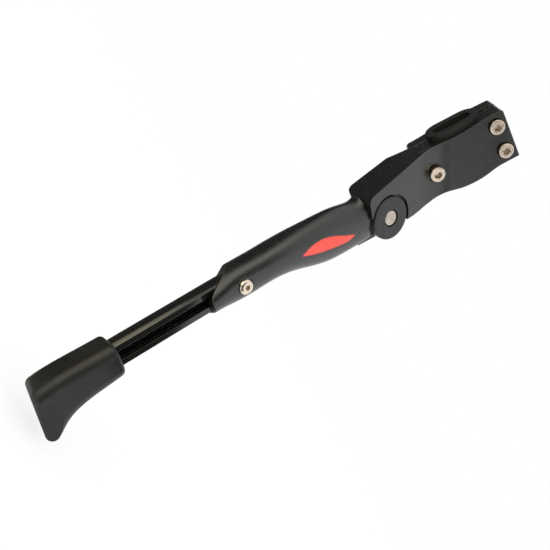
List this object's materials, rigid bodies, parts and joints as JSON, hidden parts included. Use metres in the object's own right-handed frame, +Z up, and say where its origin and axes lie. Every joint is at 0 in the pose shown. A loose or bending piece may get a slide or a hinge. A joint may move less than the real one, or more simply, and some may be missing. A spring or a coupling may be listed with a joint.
{
  "type": "bicycle kickstand",
  "caption": "Clamp-on bicycle kickstand: bent cast bracket with stay clamp, folding leg with swan-neck sleeve, height-adjustable slotted inner leg and rubber foot.",
  "frame": {"origin": "centre of the opening that clamps the bicycle's stay", "axes": "+X along the stay, forward; +Y outward, along the clamp screws; +Z up along the clamp plate"},
  "size_m": [0.0855, 0.1708, 0.3143],
  "materials": {
    "casting_black": "satin black powder coat on die-cast aluminium",
    "disc_black": "satin black",
    "liner_rubber": "matte moulded rubber",
    "nickel_steel": "nickel plated",
    "pin_steel": "nickel plated, turned",
    "inner_steel": "plain machined steel",
    "red_inlay": "satin red",
    "anodised_black": "gloss black anodised extrusion",
    "foot_rubber": "matte moulded rubber"
  },
  "bodies": {
    "bracket": {"bracket": "casting_black", "stay_liner_front": "liner_rubber", "end_screws": "nickel_steel", "middle_screw": "nickel_steel", "pivot_disc": "disc_black", "pivot_pin": "pin_steel", "pin_washer": "pin_steel", "thrust_washer_front": "inner_steel", "thrust_washer_back": "inner_steel", "cam_bush": "inner_steel"},
    "jaw": {"clamp_jaw": "casting_black", "stay_liner_back": "liner_rubber"},
    "leg": {"leg_sleeve": "casting_black", "leg_inlay": "red_inlay", "height_screw": "nickel_steel", "slot_nut": "inner_steel", "detent_spring": "inner_steel"},
    "plunger": {"detent_plunger": "inner_steel"},
    "lower_leg": {"inner_leg": "anodised_black", "foot": "foot_rubber"}
  },
  "joints": [
    {"name": "leg_fold", "type": "hinge", "parent": "bracket", "child": "leg", "pos_m": [-0.00285, 0.02226, -0.06992], "axis": [-0.1736, 0.8613, 0.4774], "range_deg": [0, 100]},
    {"name": "leg_extension", "type": "slide", "parent": "leg", "child": "lower_leg", "axis": [0.1879, 0.5049, -0.8425], "range_m": [-0.015, 0.035]},
    {"name": "jaw_clamp", "type": "slide", "parent": "bracket", "child": "jaw", "axis": [0, -1, 0], "range_m": [0, 0.006]},
    {"name": "plunger_travel", "type": "slide", "parent": "leg", "child": "plunger", "axis": [0.1879, 0.5049, -0.8425], "range_m": [0, 0.0025], "stiffness_N_per_m": 600, "springref_m": -0.008, "deforming": ["detent_spring"]}
  ]
}
